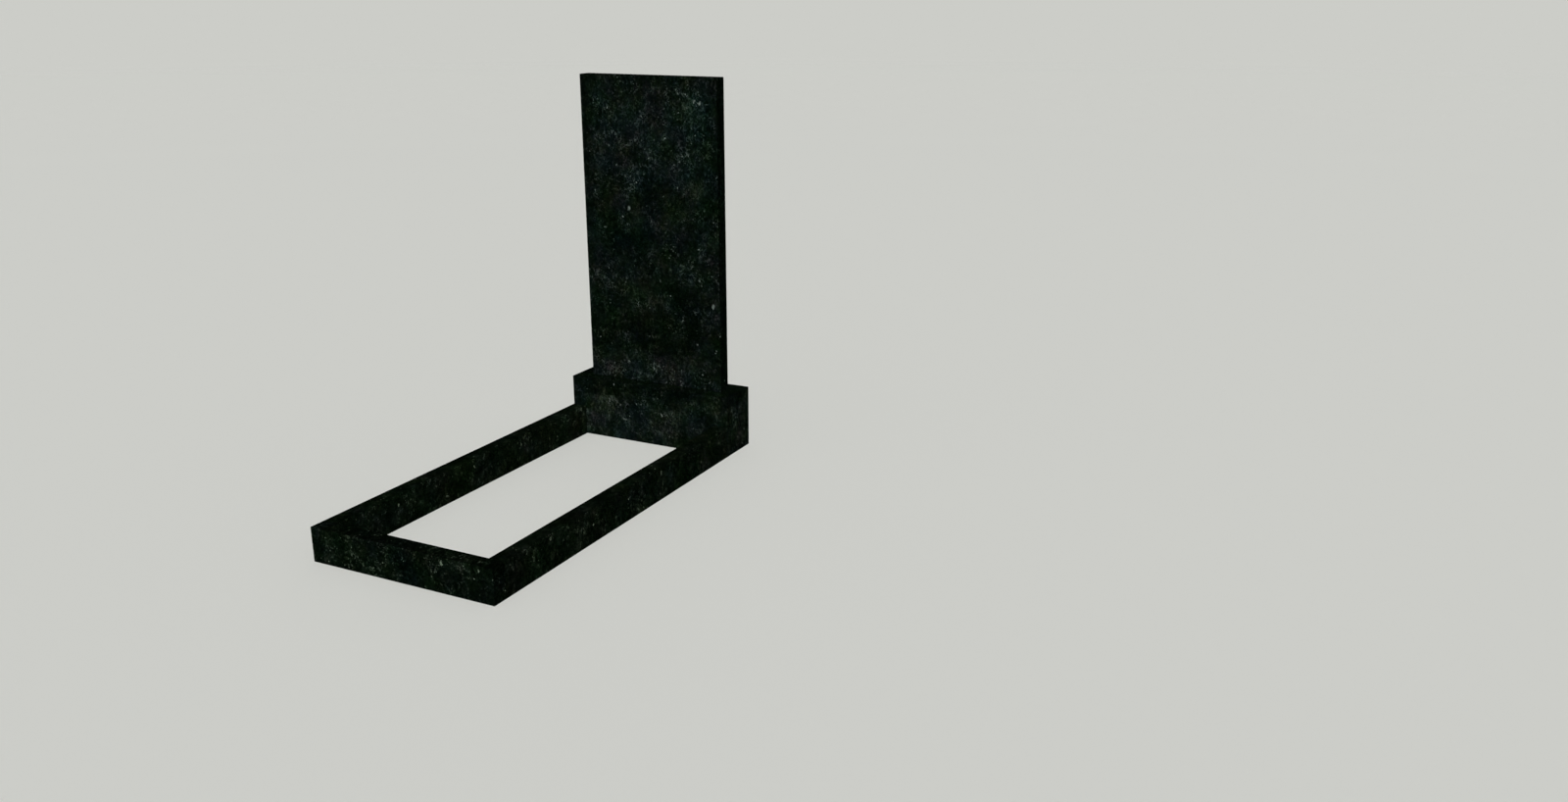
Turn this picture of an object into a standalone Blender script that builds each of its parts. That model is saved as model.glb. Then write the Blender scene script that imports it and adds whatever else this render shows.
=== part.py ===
"""Upright headstone of polished black granite: a plain slab standing on a plinth, and a low kerb
of three bars that runs forward from the plinth round a planting bed.

Run it with  blender --background --python part.py,  or from Blender's text editor.
Metres, +Z up. The slab's front face looks along -Y, the kerb reaches forward along -Y, and the
origin is the middle of the whole footprint, on the ground.
"""

import bmesh
import bpy
from mathutils import Vector

# Driving dimensions of the stones, in metres
STELE_WIDTH = 0.500
STELE_HEIGHT = 1.000
STELE_THICKNESS = 0.050
PLINTH_WIDTH = 0.600
PLINTH_DEPTH = 0.150
PLINTH_HEIGHT = 0.200
KERB_LENGTH = 1.200
KERB_BAR_WIDTH = 0.050
KERB_BAR_HEIGHT = 0.100

# The eased edge that the mason takes off every exposed arris, and the bed of each joint
ARRIS = 0.002
JOINT = 0.0003

# Places that follow from the sizes
KERB_FRONT_Y = -(KERB_LENGTH + PLINTH_DEPTH) / 2
PLINTH_FRONT_Y = KERB_FRONT_Y + KERB_LENGTH
PLINTH_MIDDLE_Y = PLINTH_FRONT_Y + PLINTH_DEPTH / 2
FRONT_BAR_MIDDLE_Y = KERB_FRONT_Y + KERB_BAR_WIDTH / 2
SIDE_BAR_START_Y = KERB_FRONT_Y + KERB_BAR_WIDTH + JOINT
SIDE_BAR_END_Y = PLINTH_FRONT_Y - JOINT
SIDE_BAR_LENGTH = SIDE_BAR_END_Y - SIDE_BAR_START_Y
SIDE_BAR_MIDDLE_Y = (SIDE_BAR_START_Y + SIDE_BAR_END_Y) / 2
SIDE_BAR_MIDDLE_X = (PLINTH_WIDTH - KERB_BAR_WIDTH) / 2

# Finish of the polished stone
STONE_COLOUR = (0.0044, 0.0076, 0.0056, 1.0)
STONE_ROUGHNESS = 0.16

# How near to a plane, in metres, an edge has to lie to count as lying in it
ON_PLANE = 1e-6


def clear_scene():
    """Removes whatever the scene holds."""
    for old in list(bpy.data.objects):
        bpy.data.objects.remove(old)


def polished_stone(name):
    """A Principled material for one stone."""
    material = bpy.data.materials.new(name)
    material.use_nodes = True
    shader = material.node_tree.nodes["Principled BSDF"]
    shader.inputs["Base Color"].default_value = STONE_COLOUR
    shader.inputs["Roughness"].default_value = STONE_ROUGHNESS
    shader.inputs["Metallic"].default_value = 0.0
    material.diffuse_color = STONE_COLOUR
    return material


def lies_in(edge, axis, place):
    """Whether both ends of the edge lie in the plane where the axis, "x", "y" or "z", has that value."""
    return all(abs(getattr(vertex.co, axis) - place) < ON_PLANE for vertex in edge.verts)


def cut_block(name, size, middle, butted_ends=False):
    """One sawn block, with its underside at the height given by middle, and its exposed edges eased.

    size is (width, depth, height). The edges round the underside stay sharp, because they bed on
    what carries the block, and so do those round both ends of a bar that butts against its neighbours.
    """
    width, depth, height = size
    shape = bmesh.new()
    bmesh.ops.create_cube(shape, size=1.0)
    bmesh.ops.scale(shape, vec=Vector(size), verts=shape.verts)
    bmesh.ops.translate(shape, vec=Vector((0, 0, height / 2)), verts=shape.verts)
    sharp_planes = [("z", 0.0)]
    if butted_ends:
        sharp_planes += [("y", -depth / 2), ("y", depth / 2)]
    exposed = [
        edge
        for edge in shape.edges
        if not any(lies_in(edge, axis, place) for axis, place in sharp_planes)
    ]
    bmesh.ops.bevel(shape, geom=exposed, offset=ARRIS, segments=1, affect="EDGES", clamp_overlap=False)
    bmesh.ops.recalc_face_normals(shape, faces=shape.faces)
    mesh = bpy.data.meshes.new(name)
    shape.to_mesh(mesh)
    shape.free()
    block = bpy.data.objects.new(name, mesh)
    block.location = Vector(middle)
    block.data.materials.append(polished_stone(name + "_stone"))
    bpy.context.scene.collection.objects.link(block)
    return block


def make_plinth():
    """The block that the slab stands on and the kerb runs out from."""
    return cut_block(
        "plinth",
        (PLINTH_WIDTH, PLINTH_DEPTH, PLINTH_HEIGHT),
        (0, PLINTH_MIDDLE_Y, 0),
    )


def make_stele():
    """The upright slab, bedded on the middle of the plinth's top."""
    return cut_block(
        "stele",
        (STELE_WIDTH, STELE_THICKNESS, STELE_HEIGHT),
        (0, PLINTH_MIDDLE_Y, PLINTH_HEIGHT + JOINT),
    )


def make_front_bar():
    """The kerb's front bar, which runs the kerb's full width, across the ends of the side bars."""
    return cut_block(
        "kerb_front",
        (PLINTH_WIDTH, KERB_BAR_WIDTH, KERB_BAR_HEIGHT),
        (0, FRONT_BAR_MIDDLE_Y, 0),
    )


def make_side_bar(name, side):
    """A side bar, from the front bar to the plinth and flush with both outside. side is -1 or 1."""
    return cut_block(
        name,
        (KERB_BAR_WIDTH, SIDE_BAR_LENGTH, KERB_BAR_HEIGHT),
        (side * SIDE_BAR_MIDDLE_X, SIDE_BAR_MIDDLE_Y, 0),
        butted_ends=True,
    )


def make_headstone():
    """All the stones, held together by one empty at the origin."""
    clear_scene()
    stones = [
        make_plinth(),
        make_stele(),
        make_front_bar(),
        make_side_bar("kerb_left", -1),
        make_side_bar("kerb_right", 1),
    ]
    whole = bpy.data.objects.new("headstone", None)
    bpy.context.scene.collection.objects.link(whole)
    for stone in stones:
        stone.parent = whole


make_headstone()
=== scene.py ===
"""Upright headstone of polished black granite: slab, plinth and three kerb bars, on a plain studio floor.

The frame gives each stone's place and size. Every stone is built again here as one closed surface with
softly eased edges, cut from a granite whose crystals are worked out by shader nodes.
"""

import math

import bpy
import numpy as np
from bpy.props import FloatProperty, FloatVectorProperty, IntProperty, PointerProperty
from bpy.types import Operator, Panel, PropertyGroup
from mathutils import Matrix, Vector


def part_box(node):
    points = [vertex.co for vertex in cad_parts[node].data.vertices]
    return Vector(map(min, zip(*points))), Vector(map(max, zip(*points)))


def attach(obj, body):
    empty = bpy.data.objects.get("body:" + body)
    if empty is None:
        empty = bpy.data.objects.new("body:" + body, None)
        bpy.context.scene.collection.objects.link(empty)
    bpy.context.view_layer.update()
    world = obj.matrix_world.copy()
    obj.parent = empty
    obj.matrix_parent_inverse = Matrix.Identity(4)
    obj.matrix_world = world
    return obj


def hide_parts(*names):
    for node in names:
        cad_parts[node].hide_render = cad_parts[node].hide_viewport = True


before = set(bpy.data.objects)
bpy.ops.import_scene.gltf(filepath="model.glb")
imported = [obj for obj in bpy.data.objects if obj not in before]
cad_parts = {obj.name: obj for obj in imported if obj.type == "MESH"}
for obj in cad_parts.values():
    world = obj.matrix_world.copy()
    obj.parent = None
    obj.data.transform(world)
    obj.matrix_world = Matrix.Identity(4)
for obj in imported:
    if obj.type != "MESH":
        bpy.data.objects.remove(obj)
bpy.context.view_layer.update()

bl_info = {
    "name": "Granite Headstone",
    "version": (1, 0, 0),
    "blender": (4, 5, 0),
    "location": "View3D > Sidebar > Headstone",
    "description": "Builds a polished granite headstone with plinth and kerb, and a plain studio for it",
    "category": "Add Mesh",
}

# The faces of each stone that aren't polished: 1 is straight from the saw, less is honed after it
SAWN_FACES = {
    "stele": {"-z": 1.0, "+y": 0.45},
    "plinth": {"-z": 1.0, "+y": 0.45},
    "kerb_front": {"-z": 1.0},
    "kerb_left": {"-z": 1.0, "-y": 0.6, "+y": 0.6},
    "kerb_right": {"-z": 1.0, "-y": 0.6, "+y": 0.6},
}

# The faces whose edges nobody has eased, because they bed on or butt against another stone
TIGHT_FACES = {
    "stele": ("-z",),
    "plinth": ("-z",),
    "kerb_front": ("-z", "+y"),
    "kerb_left": ("-z", "-y", "+y"),
    "kerb_right": ("-z", "-y", "+y"),
}

# How far each stone's cut lies from the next in the rock, in metres, how it is turned, in degrees, and
# how much finer than usual its crystals are along the stone's three axes
CUTS = {
    "stele": ((3.1, 0.4, 1.7), (0, 0, 0), (1.05, 1.0, 0.88)),
    "plinth": ((8.3, 2.9, 4.2), (0, 90, 0), (1.1, 1.0, 1.0)),
    "kerb_front": ((1.2, 7.5, 9.6), (90, 0, 0), (1.3, 1.0, 1.0)),
    "kerb_left": ((5.8, 4.1, 0.9), (0, 0, 90), (1.0, 0.9, 0.65)),
    "kerb_right": ((9.4, 6.6, 3.3), (0, 0, -90), (1.0, 0.9, 0.65)),
}

# How each stone's granite differs from the middling one: what is added to its crystals' tone, as a power
# of e, the colours that its ground and its crystals are multiplied by, then how widely its hue drifts
# and how strongly its crystals stand out
SHIFTS = {
    "stele": (-0.04, (1.0, 1.0, 1.0), (1.0, 1.0, 1.0), 1.1, 0.96),
    "plinth": (0.27, (1.0, 1.15, 1.2), (1.06, 1.0, 1.02), 1.0, 0.8),
    "kerb_front": (-0.44, (0.8, 1.05, 0.65), (0.95, 1.0, 0.82), 0.85, 1.36),
    "kerb_left": (0.28, (0.9, 1.35, 0.25), (0.99, 1.0, 0.80), 0.95, 0.88),
    "kerb_right": (0.13, (0.9, 1.3, 0.25), (1.0, 1.0, 0.81), 0.95, 0.92),
}

# What a face adds to the tone, the red and the blue, as powers of e. It is partly the face cutting the rock
# in another layer and partly painted shade: the slab's right side is painted darker, and red and blue are
# painted out of the plinth's top against the sheen that it mirrors from the slab
FACE_GRAIN_AND_SHADE = {
    "stele": {"+x": (-0.4, -0.9, -0.9), "-x": (-0.25, -0.2, -0.2)},
    "plinth": {"+x": (0.3, 0.0, -0.5), "-x": (0.1, 0.0, -0.2), "+z": (0.50, -0.9, -1.3)},
    "kerb_front": {},
    "kerb_left": {},
    "kerb_right": {},
}

# A reach that is longer than any stone, so that a patch runs right through it
ANY = 9.0

# The larger patches of each stone, in the order they are laid. Each has its middle and its reach along
# the three axes, in metres, the share of the reach that it fades over, and what it adds to tone, red
# and blue, as powers of e.
PATCHES = {
    "stele": [
        ((0.0, 0.6, 0.98), (0.30, ANY, 0.18), 0.8, (0.45, 0.05, 0.35)),
        ((0.18, 0.6, 1.11), (0.10, ANY, 0.07), 1.0, (0.80, -0.30, 0.20)),
        ((0.16, 0.6, 1.02), (0.16, ANY, 0.26), 0.8, (0.0, -0.45, -0.15)),
        ((-0.26, 0.6, 1.0), (0.09, ANY, 0.5), 1.0, (-0.80, 0.45, 0.10)),
        ((-0.12, 0.6, 1.12), (0.08, ANY, 0.08), 1.0, (0.45, 0.10, 0.10)),
        ((0.0, 0.6, 0.79), (0.07, ANY, 0.14), 1.0, (-0.90, -0.10, 0.40)),
        ((-0.12, 0.6, 0.66), (0.18, ANY, 0.07), 0.9, (-0.70, -0.10, 0.50)),
        ((0.16, 0.6, 0.86), (0.08, ANY, 0.08), 1.0, (0.50, -0.05, -0.30)),
        ((-0.16, 0.6, 0.55), (0.12, ANY, 0.07), 0.9, (0.45, 0.20, 0.40)),
        ((0.0, 0.6, 0.42), (0.4, ANY, 0.17), 0.8, (-0.30, -0.15, -0.55)),
        ((-0.04, 0.6, 0.47), (0.13, ANY, 0.09), 0.9, (0.50, 0.0, -0.25)),
        ((0.22, 0.6, 0.57), (0.09, ANY, 0.07), 1.0, (0.45, 0.0, -0.10)),
        ((0.13, 0.6, 0.46), (0.08, ANY, 0.09), 0.9, (-0.80, 0.0, 0.80)),
        ((0.0, 0.6, 0.92), (ANY, ANY, 0.07), 0.8, (-0.20, 0.0, 0.35)),
        ((0.0, 0.6, 0.80), (ANY, ANY, 0.08), 0.8, (0.10, -0.25, -0.45)),
        ((0.0, 0.6, 0.35), (ANY, ANY, 0.09), 0.8, (-0.25, -0.10, -0.35)),
        ((0.0, 0.6, 0.24), (2.0, ANY, 0.07), 0.12, (0.45, 0.20, 0.25)),
        ((0.02, 0.6, 0.25), (0.07, ANY, 0.08), 1.0, (-0.45, 0.0, 0.0)),
        ((0.22, 0.6, 0.24), (0.14, ANY, 0.09), 0.9, (-0.25, 0.0, 0.0)),
    ],
    "plinth": [
        ((-0.20, 0.6, 0.09), (0.16, ANY, 0.11), 0.9, (0.60, 0.15, 0.0)),
        ((-0.05, 0.6, 0.1), (0.06, ANY, 0.12), 0.9, (-0.25, 0.0, 0.25)),
        ((0.05, 0.6, 0.08), (0.07, ANY, 0.1), 1.0, (0.20, -0.05, -0.15)),
        ((0.22, 0.6, 0.06), (0.11, ANY, 0.14), 0.9, (-0.60, -0.10, 0.15)),
        ((0.0, 0.6, 0.205), (ANY, ANY, 0.046), 0.5, (-0.95, -0.05, -0.20)),
        ((0.27, 0.6, 0.2), (0.14, ANY, 0.07), 0.9, (0.40, 0.0, 0.0)),
        ((0.07, 0.6, 0.19), (0.08, ANY, 0.05), 0.9, (0.40, 0.0, 0.0)),
        ((-0.20, 0.6, 0.145), (0.13, ANY, 0.035), 0.9, (0.45, 0.05, 0.0)),
    ],
    "kerb_front": [
        ((0.02, -0.65, 0.05), (0.07, ANY, 0.06), 0.8, (-0.90, -0.10, 1.10)),
        ((-0.2, -0.65, 0.06), (0.12, ANY, 0.06), 1.0, (0.35, 0.0, -0.10)),
        ((0.2, -0.65, 0.08), (0.08, ANY, 0.04), 1.0, (0.35, 0.0, 0.0)),
    ],
    "kerb_left": [
        ((-0.275, -0.45, 0.05), (ANY, 0.1, 0.06), 0.9, (-0.4, 0.2, 1.2)),
        ((-0.275, 0.2, 0.05), (ANY, 0.08, 0.06), 0.9, (0.3, 0.1, 0.9)),
    ],
    "kerb_right": [
        ((0.275, -0.02, 0.07), (ANY, 0.1, 0.05), 0.9, (-0.5, 0.2, 1.3)),
        ((0.275, 0.15, 0.07), (ANY, 0.08, 0.06), 0.9, (0.3, 0.0, 0.8)),
    ],
}

# The few pale crystals that catch the eye: the middle of each, its reach along the three axes, and
# what it adds to the tone, as a power of e
FLECKS = {
    "stele": [
        ((-0.150, 0.575, 0.978), (0.005, 0.004, 0.005), 2.8),
        ((-0.080, 0.575, 0.780), (0.007, 0.004, 0.011), 3.2),
        ((-0.175, 0.575, 0.712), (0.006, 0.004, 0.005), 2.7),
        ((0.180, 0.575, 0.665), (0.012, 0.004, 0.005), 2.7),
        ((0.227, 0.575, 0.485), (0.005, 0.004, 0.013), 3.6),
        ((0.165, 0.575, 0.352), (0.006, 0.004, 0.006), 3.3),
        ((-0.168, 0.575, 0.318), (0.006, 0.004, 0.006), 2.8),
        ((-0.102, 0.575, 0.260), (0.007, 0.004, 0.008), 2.8),
        ((0.190, 0.575, 1.122), (0.008, 0.004, 0.008), 2.6),
        ((0.215, 0.575, 1.120), (0.010, 0.004, 0.003), 2.4),
    ],
    "plinth": [
        ((-0.152, 0.525, 0.133), (0.006, 0.004, 0.008), 2.2),
        ((-0.095, 0.525, 0.073), (0.010, 0.004, 0.004), 2.0),
    ],
    "kerb_front": [
        ((0.140, -0.675, 0.083), (0.004, 0.004, 0.010), 3.6),
        ((0.258, -0.675, 0.086), (0.004, 0.004, 0.006), 3.0),
    ],
    "kerb_left": [
        ((-0.25, -0.40, 0.07), (0.004, 0.005, 0.006), 3.2),
        ((-0.25, 0.16, 0.075), (0.004, 0.005, 0.009), 3.2),
    ],
    "kerb_right": [
        ((0.3, -0.437, 0.088), (0.004, 0.005, 0.006), 3.2),
        ((0.3, 0.115, 0.085), (0.004, 0.006, 0.009), 3.2),
    ],
}

# The share of its reach that a pale crystal fades over
FLECK_FADE = 0.4

# How many lumps a metre holds of the noise that makes a patch's rim ragged, and how far it is moved
RIM_LUMPS = 14.0
RIM_WANDER = 0.11

# The same for the outline of a pale crystal
CHIP_LUMPS = 130.0
CHIP_WANDER = 0.009

# How many fine crystals stand in the width of a coarse one, and the whole span of each one's random tone
FINE_CRYSTALS = 1.9
COARSE_SWING = 1.8
FINE_SWING = 2.5

# Two kinds of needle crystal. Each has its length and width in crystal sizes, the share of the places
# that has one, and what the faintest and the brightest add to the tone.
NEEDLES = (1.9, 0.40, 0.42, 0.8, 2.7)
SPARKS = (1.7, 0.8, 0.7, 2.0, 4.0)

# The distance between needles, in crystal sizes, and where in the rock the sparks are read
NEEDLE_SPACING = 1.4
SPARKS_AT = (17.0, 5.0, 11.0)

# The shortest needle, in lengths of the longest, and how far from its middle a needle starts to fade, in
# its own lengths towards the tips and in its own widths towards the sides
SHORTEST_NEEDLE = 0.45
TIP_FADE = 0.38
SIDE_FADE = 0.3

# The granite's slow drifts. Each has its own place in the rock, so that none follows another, how many
# lumps it has in a patch size, its noise's detail and roughness, and how strong it is.
DRIFTS = {
    "tone": ((0.0, 0.0, 0.0), 1.0, 4.0, 1.0, 0.8),
    "contrast": ((5.0, 2.0, 6.0), 1.5, 1.0, 0.5, 0.8),
    "warm": ((3.0, 1.0, 8.0), 1.0, 3.0, 0.5, 1.0),
    "cold": ((7.0, 9.0, 2.0), 1.0, 3.0, 0.5, 1.0),
}

# How far the hue drifts to red, the share of that which goes to blue too, and how far blue drifts alone,
# for the slow drifts and for each crystal's own chance
SLOW_HUES = (1.2, 0.6, 1.3)
OWN_HUES = (1.3, 0.5, 1.0)

# The shares of the slow hues and of the crystals' own hues that the ground and the crystals take
GROUND_HUES = (1.0, 1.0)
CRYSTAL_HUES = (0.35, 0.15)

# How softly blue stops where it reaches the green
BLUE_EASE = 0.5

# The ground's share of the patches' tone and of the crystals' tone
GROUND_PATCH = 0.3
GROUND_CRYSTAL = 0.05

# The haze of a pale patch: its strength, and how much faster than the patch it grows
HAZE = 0.28
HAZE_GROWTH = 1.4

# The highest tone of a crystal, as a power of e, and the tones between which its colour turns pale
BRIGHTEST = 4.1
PALING = (2.0, 24.0)

# The saw's marks: what their arcs turn about, and the arcs' rate and wander, in radians
SAW_CENTRE = (0.35, 0.0, -1.2)
SAW_RATE = 900.0
SAW_WANDER = 14.0

# How many lumps a metre holds of the saw's wander, of the torn grain and of the polish's slow wave
WANDER_LUMPS = 9.0
GRAIN_LUMPS = 900.0
WAVE_LUMPS = 38.0

# How deep the saw's arcs, the torn grain and the polish's wave are, as shares of the relief
ARC_DEPTH = 0.35
GRAIN_DEPTH = 1.6
WAVE_DEPTH = 0.05

# The relief's strength, and its depth in metres
RELIEF_STRENGTH = 0.4
RELIEF_DEPTH = 0.0002

# What crystals from the first tone to the second add to the polish's roughness
GLOSS_TONES = (0.3, 6.0)
GLOSS_CHANGE = (-0.02, 0.05)

# What an eased edge adds to the roughness, and how much of the sawn colour shows on it
ARRIS_ROUGHNESS = 0.12
ARRIS_BLOOM = 0.04

# How strongly the polished stone mirrors, where 0.5 is the shader's own level
POLISH_LEVEL = 0.22

# The width of each lamp as seen from the stones
LAMP_WIDTH = math.radians(30)

# The colour that the polish mirrors, and between which Y of its direction the back's sheen turns into
# the front's
SHEEN_COLOUR = (0.85, 1.0, 0.97)
SHEEN_BACK_Y = 0.3
SHEEN_FRONT_Y = -0.7

# The node groups that have been built, by the function that builds each
GROUPS = {}

# Points nearer than this are one point
WELD = 1e-6

# How far a face's own tone, which is partly painted shade, and its finish stay off its edges, where a
# joint could show them
BORDER = 0.003


class StoneSettings(PropertyGroup):
    """How the stones are cut and what the granite is like."""

    arris: FloatProperty(
        name="Eased edge",
        description="How far an exposed edge is eased, measured along each face",
        default=0.002,
        min=0.0005,
        max=0.01,
        unit="LENGTH",
        precision=4,
    )
    sawn_arris: FloatProperty(
        name="Sawn edge",
        description="How far the saw's own edge is eased, where a stone beds or butts",
        default=0.0003,
        min=0.0001,
        max=0.002,
        unit="LENGTH",
        precision=4,
    )
    arc_steps: IntProperty(
        name="Arc steps",
        description="Strips in each half of an eased edge",
        default=3,
        min=1,
        max=8,
    )
    face_step: FloatProperty(
        name="Face grid",
        description="Distance between the grid lines on a flat face",
        default=0.02,
        min=0.005,
        max=0.1,
        unit="LENGTH",
    )
    crystal_size: FloatProperty(
        name="Crystal size",
        description="Width of the larger crystals of the granite",
        default=0.0082,
        min=0.001,
        max=0.05,
        unit="LENGTH",
        precision=4,
    )
    patch_size: FloatProperty(
        name="Patch size",
        description="Width of the largest of the patches that the crystals drift into",
        default=0.075,
        min=0.01,
        max=0.5,
        unit="LENGTH",
    )
    spark_spacing: FloatProperty(
        name="Spark spacing",
        description="Distance between the brightest specks",
        default=0.032,
        min=0.01,
        max=0.5,
        unit="LENGTH",
    )
    ground: FloatVectorProperty(
        name="Ground",
        description="Colour of the dark green ground between the crystals",
        subtype="COLOR",
        size=3,
        default=(0.00010, 0.00140, 0.00046),
        min=0,
        max=1,
        precision=5,
    )
    crystal: FloatVectorProperty(
        name="Crystal",
        description="Colour of the middling crystals",
        subtype="COLOR",
        size=3,
        default=(0.00132, 0.00180, 0.00152),
        min=0,
        max=1,
        precision=5,
    )
    pale_crystal: FloatVectorProperty(
        name="Pale crystal",
        description="Colour that the palest crystals turn to, at the middling crystals' tone",
        subtype="COLOR",
        size=3,
        default=(0.00148, 0.00180, 0.00162),
        min=0,
        max=1,
        precision=5,
    )
    sawn_colour: FloatVectorProperty(
        name="Sawn colour",
        description="Colour of the stone where it isn't polished",
        subtype="COLOR",
        size=3,
        default=(0.035, 0.041, 0.037),
        min=0,
        max=1,
    )
    bloom: FloatProperty(
        name="Bloom",
        description="How much of the sawn colour shows where the stone is fully sawn",
        default=0.55,
        min=0,
        max=1,
        subtype="FACTOR",
    )
    polished_roughness: FloatProperty(
        name="Polished roughness",
        description="Roughness of the polished faces",
        default=0.16,
        min=0,
        max=1,
        subtype="FACTOR",
    )
    sawn_roughness: FloatProperty(
        name="Sawn roughness",
        description="Roughness of the faces straight from the saw",
        default=0.72,
        min=0,
        max=1,
        subtype="FACTOR",
    )


class StageSettings(PropertyGroup):
    """The floor, the lights and the camera."""

    floor_side: FloatProperty(
        name="Floor side",
        description="Side of the square floor",
        default=300.0,
        min=5,
        unit="LENGTH",
    )
    floor_clear: FloatProperty(
        name="Floor fade",
        description="Distance from the monument at which the floor starts to fade into the air",
        default=10.0,
        min=2,
        unit="LENGTH",
    )
    floor_colour: FloatVectorProperty(
        name="Floor colour",
        description="Colour of the pale floor",
        subtype="COLOR",
        size=3,
        default=(0.929, 0.938, 0.889),
        min=0,
        max=1,
    )
    backdrop_colour: FloatVectorProperty(
        name="Backdrop colour",
        description="Colour of the air that the floor fades into",
        subtype="COLOR",
        size=3,
        default=(0.604, 0.610, 0.578),
        min=0,
        max=1,
    )
    ambient: FloatProperty(
        name="Ambient light",
        description="Strength of the even light from all round",
        default=0.10,
        min=0,
    )
    key_strength: FloatProperty(
        name="Key strength",
        description="Strength of the soft light from the front right",
        default=3.62,
        min=0,
    )
    top_strength: FloatProperty(
        name="Top strength",
        description="Strength of the soft light from straight above",
        default=0.40,
        min=0,
    )
    back_strength: FloatProperty(
        name="Back strength",
        description="Strength of the soft light from behind on the left",
        default=2.2,
        min=0,
    )
    back_elevation: FloatProperty(
        name="Back elevation",
        description="Height of the back light above the horizon",
        default=math.radians(10),
        subtype="ANGLE",
    )
    back_heading: FloatProperty(
        name="Back heading",
        description="Turn of the back light from straight ahead, towards the right",
        default=math.radians(205),
        subtype="ANGLE",
    )
    key_elevation: FloatProperty(
        name="Key elevation",
        description="Height of the front light above the horizon",
        default=math.radians(15),
        subtype="ANGLE",
    )
    key_heading: FloatProperty(
        name="Key heading",
        description="Turn of the front light from straight ahead, towards the right",
        default=math.radians(20),
        subtype="ANGLE",
    )
    sheen_front: FloatProperty(
        name="Sheen from the front",
        description="Brightness that polished faces mirror from the front of the studio",
        default=0.005,
        min=0,
    )
    sheen_back: FloatProperty(
        name="Sheen from the back",
        description="Brightness that polished faces mirror from the back of the studio",
        default=0.002,
        min=0,
    )
    camera_place: FloatVectorProperty(
        name="Camera place",
        description="Where the camera stands",
        subtype="TRANSLATION",
        unit="LENGTH",
        size=3,
        default=(2.2068, -2.9298, 1.4366),
    )
    camera_heading: FloatProperty(
        name="Camera heading",
        description="Turn of the camera from looking straight along +Y, towards the left",
        default=math.radians(26.22),
        subtype="ANGLE",
    )
    camera_dip: FloatProperty(
        name="Camera dip",
        description="How far the camera looks below the horizon",
        default=math.radians(17.52),
        subtype="ANGLE",
    )
    camera_lens: FloatProperty(
        name="Focal length",
        description="Focal length on a 36 mm wide sensor, in millimetres",
        default=29.43,
        min=10,
        unit="CAMERA",
    )


def stops_along(low, high, reach_low, reach_high, settings):
    """Grid lines along one side of a block.

    Between the eased edges they stand evenly. In an edge of reach r they stand r * tan(a) beyond the
    flat, with a in even steps from 0 to 45 degrees, so that the arc comes out in equal strips. One more
    line, an arris inside each edge, keeps the shading of the flat face flat.
    """
    arc = np.tan(np.linspace(0, math.pi / 4, settings.arc_steps + 1))[1:]
    flat_low, flat_high = low + reach_low, high - reach_high
    guard_low, guard_high = flat_low + settings.arris, flat_high - settings.arris
    strips = max(1, round((guard_high - guard_low) / settings.face_step))
    even = np.linspace(guard_low, guard_high, strips + 1)
    return np.concatenate(
        [flat_low - reach_low * arc[::-1], [flat_low], even, [flat_high], flat_high + reach_high * arc]
    )


def sharp_faces(stops):
    """The six faces of the sharp block, each as its own grid: (points, quads) of all of them.

    Face k lies across axis k. Its two parameters run along the next two axes in turn, so that its
    quads turn anticlockwise seen from outside at the high end, and are reversed at the low end.
    """
    points, quads, made = [], [], 0
    for axis in range(3):
        along, across = (axis + 1) % 3, (axis + 2) % 3
        first, second = np.meshgrid(stops[along], stops[across], indexing="ij")
        number = np.arange(first.size).reshape(first.shape)
        around = np.stack([number[:-1, :-1], number[1:, :-1], number[1:, 1:], number[:-1, 1:]], axis=-1)
        around = around.reshape(-1, 4)
        for end, turned in ((0, around[:, ::-1]), (-1, around)):
            grid = np.empty((first.size, 3))
            grid[:, axis] = stops[axis][end]
            grid[:, along] = first.ravel()
            grid[:, across] = second.ravel()
            points.append(grid)
            quads.append(turned + made)
            made += len(grid)
    return np.concatenate(points), np.concatenate(quads)


def eased_block(low, high, reach_low, reach_high, settings):
    """(points, quads, normals) of a block between two corners, with eased edges.

    A point p of the sharp block moves to  core + reach * s / |s|,  where core is the point of the block
    shrunk by the reaches that is nearest to p, and  s = (p - core) / reach.  A flat face stays flat, an
    edge becomes a quarter of an ellipse and a corner an eighth of an ellipsoid. The normal is s / |s|,
    and grid points that two or three faces share are made one.
    """
    stops = [
        stops_along(low[axis], high[axis], reach_low[axis], reach_high[axis], settings)
        for axis in range(3)
    ]
    points, quads = sharp_faces(stops)
    _, first, shared = np.unique(
        np.round(points / WELD).astype(np.int64), axis=0, return_index=True, return_inverse=True
    )
    points, quads = points[first], shared.reshape(-1)[quads]
    core = np.clip(points, low + reach_low, high - reach_high)
    reach = np.where(points < core, reach_low, reach_high)
    share = (points - core) / reach
    normals = share / np.linalg.norm(share, axis=1, keepdims=True)
    return core + reach * normals, quads, normals


def face_levels(points, low, high, levels, numbers=1):
    """The level of each named face, at its points that lie at least a margin inside its border.

    Each level has that many numbers, and so has what each point gets.
    """
    total = np.zeros((len(points), numbers))
    inside = (points > low + BORDER) & (points < high - BORDER)
    for face, level in levels.items():
        axis = "xyz".index(face[1])
        place = high[axis] if face[0] == "+" else low[axis]
        on_face = np.abs(points[:, axis] - place) < WELD
        others = [other for other in range(3) if other != axis]
        total += np.outer(on_face & inside[:, others].all(axis=1), level)
    return total


def point_attribute(mesh, name, values):
    """Stores one number, or three, for each point of the mesh."""
    kind, key = ("FLOAT", "value") if values.size == len(mesh.vertices) else ("FLOAT_VECTOR", "vector")
    mesh.attributes.new(name, kind, "POINT").data.foreach_set(key, values.astype(np.float32).ravel())


def reaches(name, sign, settings):
    """How far the edges at the three low or high sides of a stone are eased."""
    tight = [sign + axis in TIGHT_FACES[name] for axis in "xyz"]
    return np.where(tight, settings.sawn_arris, settings.arris)


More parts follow.
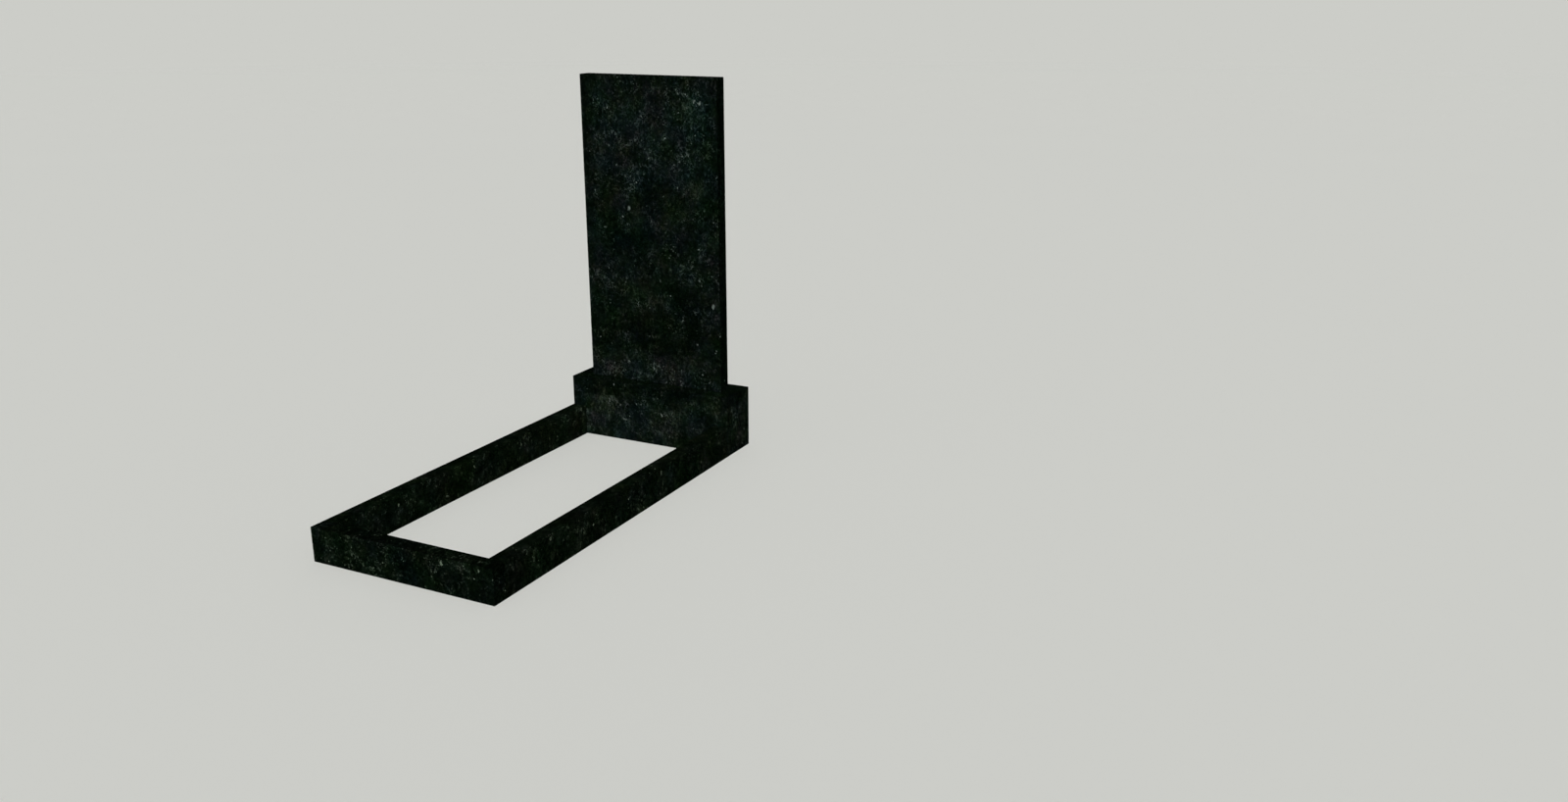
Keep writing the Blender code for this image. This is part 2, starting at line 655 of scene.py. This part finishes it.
def make_stone(name, settings):
    """One stone, as large as the frame says and in its place, riding on the monument."""
    low, high = (np.array(corner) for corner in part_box(name))
    points, quads, normals = eased_block(
        low, high, reaches(name, "-", settings), reaches(name, "+", settings), settings
    )
    mesh = bpy.data.meshes.new(name)
    mesh.from_pydata(points, [], quads)
    mesh.polygons.foreach_set("use_smooth", np.ones(len(quads), bool))
    flatness = np.abs(normals).max(axis=1)
    half_turned = 1 - math.sqrt(0.5)
    point_attribute(mesh, "arris", np.clip((1 - flatness) / half_turned, 0, 1))
    point_attribute(mesh, "sawn", face_levels(points, low, high, SAWN_FACES[name]))
    # Each face's shift of tone and hue, partly the rock's own layer and partly painted shade, as a point
    # attribute
    point_attribute(mesh, "face_grain_and_shade", face_levels(points, low, high, FACE_GRAIN_AND_SHADE[name], 3))
    mesh.update()
    stone = bpy.data.objects.new(name + "_stone", mesh)
    bpy.context.scene.collection.objects.link(stone)
    mesh.materials.append(granite(name, settings))
    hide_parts(name)
    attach(stone, "root")


class Graph:
    """Writes a node tree. Each method adds a node and gives back the output that is used."""

    def __init__(self, tree):
        self.tree = tree

    def put(self, socket, value):
        """Links a socket's value, or sets it where the value is plain."""
        if isinstance(value, bpy.types.NodeSocket):
            self.tree.links.new(value, socket)
        else:
            socket.default_value = value

    def node(self, kind, inputs=(), **settings):
        """A node of the kind, with its settings and its inputs by name or number. None is passed over."""
        node = self.tree.nodes.new(kind)
        for key, value in settings.items():
            setattr(node, key, value)
        for key, value in dict(inputs).items():
            if value is not None:
                self.put(node.inputs[key], value)
        return node

    def math(self, operation, first, second=None, third=None):
        """Arithmetic on one, two or three numbers."""
        inputs = {0: first, 1: second, 2: third}
        return self.node("ShaderNodeMath", inputs, operation=operation).outputs[0]

    def vector(self, operation, first, second=None, scale=None):
        """Arithmetic on vectors, which gives a vector."""
        inputs = {0: first, 1: second} if scale is None else {0: first, "Scale": scale}
        return self.node("ShaderNodeVectorMath", inputs, operation=operation).outputs["Vector"]

    def measure(self, operation, first, second=None):
        """Arithmetic on vectors, which gives a number: DOT_PRODUCT or LENGTH."""
        inputs = {0: first, 1: second}
        return self.node("ShaderNodeVectorMath", inputs, operation=operation).outputs["Value"]

    def between(self, value, low, high, to_low=0.0, to_high=1.0, smooth=True):
        """Where a value lies from low to high, as a number from to_low to to_high."""
        inputs = {"Value": value, "From Min": low, "From Max": high, "To Min": to_low, "To Max": to_high}
        kind = "SMOOTHSTEP" if smooth else "LINEAR"
        return self.node("ShaderNodeMapRange", inputs, interpolation_type=kind).outputs["Result"]

    def colours(self, factor, first, second):
        """Two colours mixed."""
        node = self.tree.nodes.new("ShaderNodeMix")
        node.data_type = "RGBA"
        names = {socket.identifier: socket for socket in node.inputs}
        self.put(names["Factor_Float"], factor)
        self.put(names["A_Color"], first)
        self.put(names["B_Color"], second)
        return {socket.identifier: socket for socket in node.outputs}["Result_Color"]

    def noise(self, vector, scale, detail=2.0, roughness=0.5, output="Fac", signed=False):
        """Soft noise, from 0 to 1 or about 0. The scale is one over the size of its lumps."""
        inputs = {"Vector": vector, "Scale": scale, "Detail": detail, "Roughness": roughness}
        return self.node("ShaderNodeTexNoise", inputs, normalize=not signed).outputs[output]

    def cells(self, vector, scale):
        """The cell of a random tiling that a point lies in: its colour at random, middle and distance."""
        return self.node("ShaderNodeTexVoronoi", {"Vector": vector, "Scale": scale}).outputs

    def channel(self, colour, number):
        """One channel of a colour."""
        return self.node("ShaderNodeSeparateColor", {0: colour}).outputs[number]


def new_group(name, inputs, outputs):
    """An empty node group with named sockets.

    Gives back its Graph, its inputs by name and a function that sets its outputs.
    """
    tree = bpy.data.node_groups.new(name, "ShaderNodeTree")
    for label, kind in inputs.items():
        tree.interface.new_socket(label, in_out="INPUT", socket_type="NodeSocket" + kind)
    for label, kind in outputs.items():
        tree.interface.new_socket(label, in_out="OUTPUT", socket_type="NodeSocket" + kind)
    source = tree.nodes.new("NodeGroupInput")
    sink = tree.nodes.new("NodeGroupOutput")
    graph = Graph(tree)

    def give(**values):
        for label, value in values.items():
            graph.put(sink.inputs[label], value)

    return graph, source.outputs, give


def patch_group():
    """Where a cloudy patch lies: 1 in its middle, falling to 0 at its rim.

    With c the patch's middle and r its reach along each axis, the way out is |(p - c) / r|. The rim is
    1, and the patch fades over the last part of the way, given by Fade.
    """
    graph, given, give = new_group(
        "granite_patch",
        {"Vector": "Vector", "Middle": "Vector", "Reach": "Vector", "Fade": "Float"},
        {"Mask": "Float"},
    )
    way = graph.vector("DIVIDE", graph.vector("SUBTRACT", given["Vector"], given["Middle"]), given["Reach"])
    inner = graph.math("SUBTRACT", 1.0, given["Fade"])
    give(Mask=graph.between(graph.measure("LENGTH", way), 1.0, inner))
    return graph.tree


def needles_group():
    """Needle crystals: one rod in each cell of a random tiling, lying in a direction of its own.

    With m the cell's middle and u a random unit vector, a point p has the way  a = (p - m) . u  along
    the rod and  d = |p - m - a u|  off it. The rod is where |a| is under half its length and d under half
    its width. Only a share of the cells has one.
    """
    graph, given, give = new_group(
        "granite_needles",
        {"Vector": "Vector", "Spacing": "Float", "Length": "Float", "Width": "Float", "Share": "Float"},
        {"Mask": "Float", "Random": "Float"},
    )
    cells = graph.cells(given["Vector"], graph.math("DIVIDE", 1.0, given["Spacing"]))
    chance = graph.node("ShaderNodeTexWhiteNoise", {"Vector": cells["Position"]}).outputs["Color"]
    direction = graph.vector("NORMALIZE", graph.vector("SUBTRACT", cells["Color"], (0.5, 0.5, 0.5)))
    offset = graph.vector("SUBTRACT", given["Vector"], cells["Position"])
    along = graph.measure("DOT_PRODUCT", offset, direction)
    foot = graph.vector("SCALE", direction, scale=along)
    off = graph.measure("LENGTH", graph.vector("SUBTRACT", offset, foot))
    size = graph.between(graph.channel(chance, 1), 0, 1, SHORTEST_NEEDLE, 1.0, smooth=False)
    ends = graph.math("DIVIDE", graph.math("ABSOLUTE", along), graph.math("MULTIPLY", given["Length"], size))
    sides = graph.math("DIVIDE", off, graph.math("MULTIPLY", given["Width"], size))
    inside = graph.math(
        "MULTIPLY", graph.between(ends, 0.5, TIP_FADE), graph.between(sides, 0.5, SIDE_FADE)
    )
    kept = graph.math("LESS_THAN", graph.channel(chance, 0), given["Share"])
    give(Mask=graph.math("MULTIPLY", inside, kept), Random=graph.channel(chance, 2))
    return graph.tree


def crystals_group():
    """Granite as dark ground and pale crystals.

    The patches' drift p is alike at every size. The crystals' x adds up the random tone of each coarse
    and fine crystal, the needles and the sparks, and is stronger in some patches than in others. The
    colour is

        ground * e^(g p + c x) * (e^r, 1, e^b)  +  crystal * (e^(p + x) + h e^(k p)),

    with g GROUND_PATCH, c GROUND_CRYSTAL, h HAZE and k HAZE_GROWTH, so that pale patches look hazy. In
    the first part r and b, the drift of the hue to red and to blue, are the given drift, soft noise and
    each crystal's own chance. Part of the blue follows the red, so that the hue drifts more between
    green and grey than between warm and cold, and b stops where the blue reaches the green. The
    crystal's colour has less of each drift, and turns to the pale crystal's as its tone rises.
    """
    graph, given, give = new_group(
        "granite_crystals",
        {
            "Vector": "Vector",
            "Crystal Size": "Float",
            "Patch Size": "Float",
            "Spark Spacing": "Float",
            "Tone": "Float",
            "Red": "Float",
            "Blue": "Float",
            "Hue Drift": "Float",
            "Flecks": "Float",
            "Contrast": "Float",
            "Ground": "Color",
            "Crystal": "Color",
            "Pale Crystal": "Color",
        },
        {"Color": "Color", "Tone": "Float"},
    )
    vector, size = given["Vector"], given["Crystal Size"]
    crystal_scale = graph.math("DIVIDE", 1.0, size)
    patch_scale = graph.math("DIVIDE", 1.0, given["Patch Size"])
    wander = graph.vector("SUBTRACT", graph.noise(vector, crystal_scale, 2.0, 0.6, "Color"), (0.5, 0.5, 0.5))
    ragged = graph.vector("ADD", vector, graph.vector("SCALE", wander, scale=size))
    coarse = graph.cells(ragged, crystal_scale)["Color"]
    fine = graph.cells(ragged, graph.math("MULTIPLY", crystal_scale, FINE_CRYSTALS))["Color"]

    def swing(value, amount):
        return graph.math("MULTIPLY", graph.math("SUBTRACT", value, 0.5), amount)

    def drift(name):
        place, lumps, detail, roughness, amount = DRIFTS[name]
        moved = graph.vector("ADD", vector, place)
        scale = graph.math("MULTIPLY", patch_scale, lumps)
        return graph.math("MULTIPLY", graph.noise(moved, scale, detail, roughness, signed=True), amount)

    def exponential(value):
        return graph.math("POWER", math.e, value)

    def rods(place, spacing, kind):
        """What one kind of needle crystal adds to the tone."""
        length, width, share, faintest, brightest = kind
        rod = group_node(
            graph,
            needles_group,
            {
                "Vector": place,
                "Spacing": spacing,
                "Length": graph.math("MULTIPLY", size, length),
                "Width": graph.math("MULTIPLY", size, width),
                "Share": share,
            },
        )
        return graph.math("MULTIPLY", rod["Mask"], graph.between(rod["Random"], 0, 1, faintest, brightest))

    patch = graph.math("ADD", given["Tone"], drift("tone"))
    parts = [
        swing(graph.channel(coarse, 0), COARSE_SWING),
        swing(graph.channel(fine, 0), FINE_SWING),
        rods(ragged, graph.math("MULTIPLY", size, NEEDLE_SPACING), NEEDLES),
        rods(graph.vector("ADD", ragged, SPARKS_AT), given["Spark Spacing"], SPARKS),
    ]
    crystal = parts[0]
    for part in parts[1:]:
        crystal = graph.math("ADD", crystal, part)
    contrast = graph.math("MULTIPLY", given["Contrast"], graph.math("ADD", drift("contrast"), 1.0))
    crystal = graph.math("MULTIPLY_ADD", crystal, contrast, given["Flecks"])
    tone = exponential(graph.math("MINIMUM", graph.math("ADD", patch, crystal), BRIGHTEST))
    ground = graph.math("MULTIPLY_ADD", patch, GROUND_PATCH, graph.math("MULTIPLY", crystal, GROUND_CRYSTAL))
    haze = graph.math("MULTIPLY", exponential(graph.math("MULTIPLY", patch, HAZE_GROWTH)), HAZE)

    def hues(warm, cold, amounts):
        """Drifts to red and to blue from two chances. A share of the first goes to the blue too."""
        warm_amount, shared, cold_amount = amounts
        to_red = graph.math("MULTIPLY", warm, graph.math("MULTIPLY", given["Hue Drift"], warm_amount))
        alone = graph.math("MULTIPLY", cold, graph.math("MULTIPLY", given["Hue Drift"], cold_amount))
        return to_red, graph.math("MULTIPLY_ADD", to_red, shared, alone)

    slow_red, slow_blue = hues(drift("warm"), drift("cold"), SLOW_HUES)
    own_red, own_blue = hues(
        swing(graph.channel(coarse, 1), 1.0), swing(graph.channel(coarse, 2), 1.0), OWN_HUES
    )
    red, blue = graph.math("ADD", slow_red, given["Red"]), graph.math("ADD", slow_blue, given["Blue"])

    def tinted(colour, shares):
        """The colour with its hue moved by these shares of the slow hues and of the crystal's own."""
        slow_share, own_share = shares
        powers = [
            graph.math("MULTIPLY_ADD", own, own_share, graph.math("MULTIPLY", slow, slow_share))
            for own, slow in ((own_red, red), (own_blue, blue))
        ]
        green_to_blue = graph.math("DIVIDE", graph.channel(colour, 1), graph.channel(colour, 2))
        bluest = graph.math("LOGARITHM", green_to_blue, math.e)
        powers[1] = graph.math("SMOOTH_MIN", powers[1], bluest, BLUE_EASE * slow_share)
        hue = {"X": exponential(powers[0]), "Y": 1.0, "Z": exponential(powers[1])}
        return graph.vector("MULTIPLY", colour, graph.node("ShaderNodeCombineXYZ", hue).outputs[0])

    paleness = graph.between(tone, *PALING)
    crystal_colour = graph.colours(paleness, tinted(given["Crystal"], CRYSTAL_HUES), given["Pale Crystal"])
    body = graph.vector(
        "ADD",
        graph.vector("SCALE", tinted(given["Ground"], GROUND_HUES), scale=exponential(ground)),
        graph.vector("SCALE", crystal_colour, scale=graph.math("ADD", tone, haze)),
    )
    give(Color=body, Tone=tone)
    return graph.tree


def stone_finish_group():
    """How the surface is worked: polish that leaves each crystal its own gloss, and the saw's long arcs.

    The saw's marks are rings about a point far off the stone, so they cross it as flat arcs.
    """
    graph, given, give = new_group(
        "stone_finish",
        {
            "Vector": "Vector",
            "Sawn": "Float",
            "Arris": "Float",
            "Tone": "Float",
            "Polished Roughness": "Float",
            "Sawn Roughness": "Float",
        },
        {"Roughness": "Float", "Height": "Float", "Bloom": "Float"},
    )
    centre = graph.vector("SUBTRACT", given["Vector"], SAW_CENTRE)
    radius = graph.measure("LENGTH", graph.vector("MULTIPLY", centre, (1.0, 0.0, 1.0)))
    wander = graph.math("MULTIPLY", graph.noise(given["Vector"], WANDER_LUMPS, 2.0), SAW_WANDER)
    arcs = graph.math("SINE", graph.math("MULTIPLY_ADD", radius, SAW_RATE, wander))
    grain = graph.noise(given["Vector"], GRAIN_LUMPS, 3.0, 0.65)
    wave = graph.noise(given["Vector"], WAVE_LUMPS, 1.0)
    marks = graph.math("MULTIPLY_ADD", arcs, ARC_DEPTH, graph.math("MULTIPLY", grain, GRAIN_DEPTH))
    rough_part = graph.math("MULTIPLY", marks, given["Sawn"])
    height = graph.math("ADD", rough_part, graph.math("MULTIPLY", wave, WAVE_DEPTH))
    gloss = graph.between(given["Tone"], *GLOSS_TONES, *GLOSS_CHANGE)
    polished = graph.math("ADD", given["Polished Roughness"], gloss)
    eased = graph.math("MULTIPLY_ADD", given["Arris"], ARRIS_ROUGHNESS, polished)
    roughness = graph.between(given["Sawn"], 0.0, 1.0, eased, given["Sawn Roughness"], smooth=False)
    bloom = graph.math("MAXIMUM", given["Sawn"], graph.math("MULTIPLY", given["Arris"], ARRIS_BLOOM))
    give(Roughness=roughness, Height=height, Bloom=bloom)
    return graph.tree


def group_node(graph, maker, inputs):
    """A node of the group that the maker builds. The group is built once and shared."""
    tree = GROUPS.get(maker) or GROUPS.setdefault(maker, maker())
    node = graph.tree.nodes.new("ShaderNodeGroup")
    node.node_tree = tree
    for key, value in inputs.items():
        graph.put(node.inputs[key], value)
    return node.outputs


def placed_patches(graph, place, name):
    """The stone's own patches, each where the stone has it: what they add to tone, red and blue."""
    lumps = graph.vector("SUBTRACT", graph.noise(place, RIM_LUMPS, 3.0, 0.6, "Color"), (0.5, 0.5, 0.5))
    ragged = graph.vector("ADD", place, graph.vector("SCALE", lumps, scale=RIM_WANDER))
    totals = [0.0, 0.0, 0.0]
    for middle, reach, fade, shifts in PATCHES[name]:
        mask = group_node(
            graph, patch_group, {"Vector": ragged, "Middle": middle, "Reach": reach, "Fade": fade}
        )["Mask"]
        totals = [graph.math("MULTIPLY_ADD", mask, shift, total) for shift, total in zip(shifts, totals)]
    return totals


def placed_flecks(graph, place, name):
    """The stone's own pale crystals, each where the stone has it: what they add to the tone."""
    chips = graph.vector("SUBTRACT", graph.noise(place, CHIP_LUMPS, 1.0, 0.5, "Color"), (0.5, 0.5, 0.5))
    chipped = graph.vector("ADD", place, graph.vector("SCALE", chips, scale=CHIP_WANDER))
    total = 0.0
    for middle, reach, bright in FLECKS[name]:
        fleck = {"Vector": chipped, "Middle": middle, "Reach": reach, "Fade": FLECK_FADE}
        total = graph.math("MULTIPLY_ADD", group_node(graph, patch_group, fleck)["Mask"], bright, total)
    return total


def product(colour, other):
    """Two colours multiplied, as a colour with an alpha of 1."""
    return (*(one * two for one, two in zip(colour, other)), 1)


def granite(name, settings):
    """The stone's own cut of the granite, worked as its attributes say."""
    material = bpy.data.materials.new(name + "_granite")
    material.use_nodes = True
    graph = Graph(material.node_tree)
    shader = material.node_tree.nodes["Principled BSDF"]
    place = graph.node("ShaderNodeTexCoord").outputs["Object"]
    offset, turn, grain = CUTS[name]
    cut = graph.node(
        "ShaderNodeMapping",
        {
            "Vector": place,
            "Location": offset,
            "Rotation": [math.radians(angle) for angle in turn],
            "Scale": grain,
        },
    ).outputs["Vector"]
    sawn = graph.node("ShaderNodeAttribute", attribute_name="sawn").outputs["Fac"]
    arris = graph.node("ShaderNodeAttribute", attribute_name="arris").outputs["Fac"]
    # Each face's shift of tone, red and blue, partly painted shade, is added to the patches' shifts
    face_grain_and_shade = graph.node("ShaderNodeAttribute", attribute_name="face_grain_and_shade").outputs["Vector"]
    face_grain_and_shade_parts = graph.node("ShaderNodeSeparateXYZ", {0: face_grain_and_shade}).outputs
    tone, red, blue = (
        graph.math("ADD", patch, face) for patch, face in zip(placed_patches(graph, place, name), face_grain_and_shade_parts)
    )
    stone_tone, ground_colour, crystal_colour, hue_drift, contrast = SHIFTS[name]
    crystals = group_node(
        graph,
        crystals_group,
        {
            "Vector": cut,
            "Crystal Size": settings.crystal_size,
            "Patch Size": settings.patch_size,
            "Spark Spacing": settings.spark_spacing,
            "Tone": graph.math("ADD", tone, stone_tone),
            "Red": red,
            "Blue": blue,
            "Hue Drift": hue_drift,
            "Flecks": placed_flecks(graph, place, name),
            "Contrast": contrast,
            "Ground": product(settings.ground, ground_colour),
            "Crystal": product(settings.crystal, crystal_colour),
            "Pale Crystal": product(settings.pale_crystal, crystal_colour),
        },
    )
    finish = group_node(
        graph,
        stone_finish_group,
        {
            "Vector": cut,
            "Sawn": sawn,
            "Arris": arris,
            "Tone": crystals["Tone"],
            "Polished Roughness": settings.polished_roughness,
            "Sawn Roughness": settings.sawn_roughness,
        },
    )
    dull = graph.math("MULTIPLY", finish["Bloom"], settings.bloom)
    colour = graph.colours(dull, crystals["Color"], (*settings.sawn_colour, 1))
    relief = {"Strength": RELIEF_STRENGTH, "Distance": RELIEF_DEPTH, "Height": finish["Height"]}
    bump = graph.node("ShaderNodeBump", relief)
    graph.put(shader.inputs["Base Color"], colour)
    graph.put(shader.inputs["Roughness"], finish["Roughness"])
    graph.put(shader.inputs["Normal"], bump.outputs["Normal"])
    shader.inputs["Specular IOR Level"].default_value = POLISH_LEVEL
    return material


def make_floor(stage):
    """A plain square floor at the monument's own ground, which fades into the air before its rim."""
    half = stage.floor_side / 2
    corners = [(-half, -half, 0), (half, -half, 0), (half, half, 0), (-half, half, 0)]
    mesh = bpy.data.meshes.new("floor")
    mesh.from_pydata(corners, [], [(0, 1, 2, 3)])
    floor = bpy.data.objects.new("floor", mesh)
    bpy.context.scene.collection.objects.link(floor)
    paint = bpy.data.materials.new("floor_paint")
    paint.use_nodes = True
    shader = paint.node_tree.nodes["Principled BSDF"]
    shader.inputs["Base Color"].default_value = (*stage.floor_colour, 1)
    shader.inputs["Roughness"].default_value = 1.0
    shader.inputs["Specular IOR Level"].default_value = 0.0
    graph = Graph(paint.node_tree)
    away = graph.measure("LENGTH", graph.node("ShaderNodeTexCoord").outputs["Object"])
    closeness = graph.math("DIVIDE", stage.floor_clear, away)
    graph.put(shader.inputs["Alpha"], graph.between(closeness, stage.floor_clear / half, 1.0))
    mesh.materials.append(paint)
    floor.visible_glossy = False


def make_air(stage):
    """The studio's air: pale to the camera, an even light to the stones, and a dim sheen to their polish.

    The polish mirrors a studio that is lit from the front and dark behind, as for any black gloss.
    """
    world = bpy.data.worlds.new("studio_air")
    bpy.context.scene.world = world
    world.use_nodes = True
    graph = Graph(world.node_tree)
    rays = graph.node("ShaderNodeLightPath").outputs
    direction = graph.node("ShaderNodeTexCoord").outputs["Generated"]
    y = graph.node("ShaderNodeSeparateXYZ", {0: direction}).outputs["Y"]
    sheen = graph.between(y, SHEEN_BACK_Y, SHEEN_FRONT_Y, stage.sheen_back, stage.sheen_front)
    even = graph.vector("SCALE", (1.0, 1.0, 1.0), scale=stage.ambient)
    light = graph.colours(rays["Is Glossy Ray"], even, graph.vector("SCALE", SHEEN_COLOUR, scale=sheen))
    seen = graph.colours(rays["Is Camera Ray"], light, (*stage.backdrop_colour, 1))
    graph.put(world.node_tree.nodes["Background"].inputs["Color"], seen)


def make_lamp(name, strength, tilt, heading):
    """A wide, far lamp that throws no hard shadow and isn't mirrored in the polish.

    The tilt is its way down from the zenith, and the heading its turn from the front to the right.
    """
    light = bpy.data.lights.new(name, "SUN")
    light.energy = strength
    light.angle = LAMP_WIDTH
    light.use_shadow = False
    lamp = bpy.data.objects.new(name, light)
    lamp.rotation_euler = (tilt, 0, heading)
    lamp.visible_glossy = False
    bpy.context.scene.collection.objects.link(lamp)


def make_camera(stage):
    """The camera, standing to the right of the monument and looking down along the kerb."""
    lens = bpy.data.cameras.new("camera")
    lens.lens = stage.camera_lens
    lens.clip_end = 2 * stage.floor_side
    camera = bpy.data.objects.new("camera", lens)
    camera.location = stage.camera_place
    camera.rotation_euler = (math.pi / 2 - stage.camera_dip, 0, stage.camera_heading)
    bpy.context.scene.collection.objects.link(camera)
    bpy.context.scene.camera = camera


class HEADSTONE_OT_stele(Operator):
    """Build the upright slab"""

    bl_idname = "headstone.make_stele"
    bl_label = "Make the slab"

    def execute(self, context):
        make_stone("stele", context.scene.headstone_stone)
        return {"FINISHED"}


class HEADSTONE_OT_plinth(Operator):
    """Build the plinth under the slab"""

    bl_idname = "headstone.make_plinth"
    bl_label = "Make the plinth"

    def execute(self, context):
        make_stone("plinth", context.scene.headstone_stone)
        return {"FINISHED"}


class HEADSTONE_OT_kerb(Operator):
    """Build the three bars of the kerb"""

    bl_idname = "headstone.make_kerb"
    bl_label = "Make the kerb"

    def execute(self, context):
        for name in ("kerb_front", "kerb_left", "kerb_right"):
            make_stone(name, context.scene.headstone_stone)
        return {"FINISHED"}


class HEADSTONE_OT_stage(Operator):
    """Set up the floor, the lights and the camera"""

    bl_idname = "headstone.make_stage"
    bl_label = "Make the stage"

    def execute(self, context):
        stage = context.scene.headstone_stage
        make_floor(stage)
        make_air(stage)
        make_lamp("key_light", stage.key_strength, math.pi / 2 - stage.key_elevation, stage.key_heading)
        make_lamp("top_light", stage.top_strength, 0, 0)
        make_lamp("back_light", stage.back_strength, math.pi / 2 - stage.back_elevation, stage.back_heading)
        make_camera(stage)
        context.scene.view_settings.view_transform = "Standard"
        return {"FINISHED"}


class HEADSTONE_PT_panel(Panel):
    """Lists the headstone's settings and steps in the sidebar."""

    bl_label = "Headstone"
    bl_idname = "HEADSTONE_PT_panel"
    bl_space_type = "VIEW_3D"
    bl_region_type = "UI"
    bl_category = "Headstone"

    def draw(self, context):
        for settings in (context.scene.headstone_stone, context.scene.headstone_stage):
            column = self.layout.column()
            for key in settings.bl_rna.properties.keys():
                if key not in ("rna_type", "name"):
                    column.prop(settings, key)
        for operator in OPERATORS:
            self.layout.operator(operator.bl_idname)


OPERATORS = (HEADSTONE_OT_stele, HEADSTONE_OT_plinth, HEADSTONE_OT_kerb, HEADSTONE_OT_stage)
CLASSES = (StoneSettings, StageSettings, *OPERATORS, HEADSTONE_PT_panel)


def register():
    """Adds the classes and the settings to Blender."""
    for each in CLASSES:
        bpy.utils.register_class(each)
    bpy.types.Scene.headstone_stone = PointerProperty(type=StoneSettings)
    bpy.types.Scene.headstone_stage = PointerProperty(type=StageSettings)


def unregister():
    """Takes them out again."""
    del bpy.types.Scene.headstone_stage
    del bpy.types.Scene.headstone_stone
    for each in reversed(CLASSES):
        bpy.utils.unregister_class(each)


def main():
    """Builds the whole scene."""
    register()
    bpy.ops.headstone.make_stele()
    bpy.ops.headstone.make_plinth()
    bpy.ops.headstone.make_kerb()
    bpy.ops.headstone.make_stage()


if __name__ == "__main__":
    main()
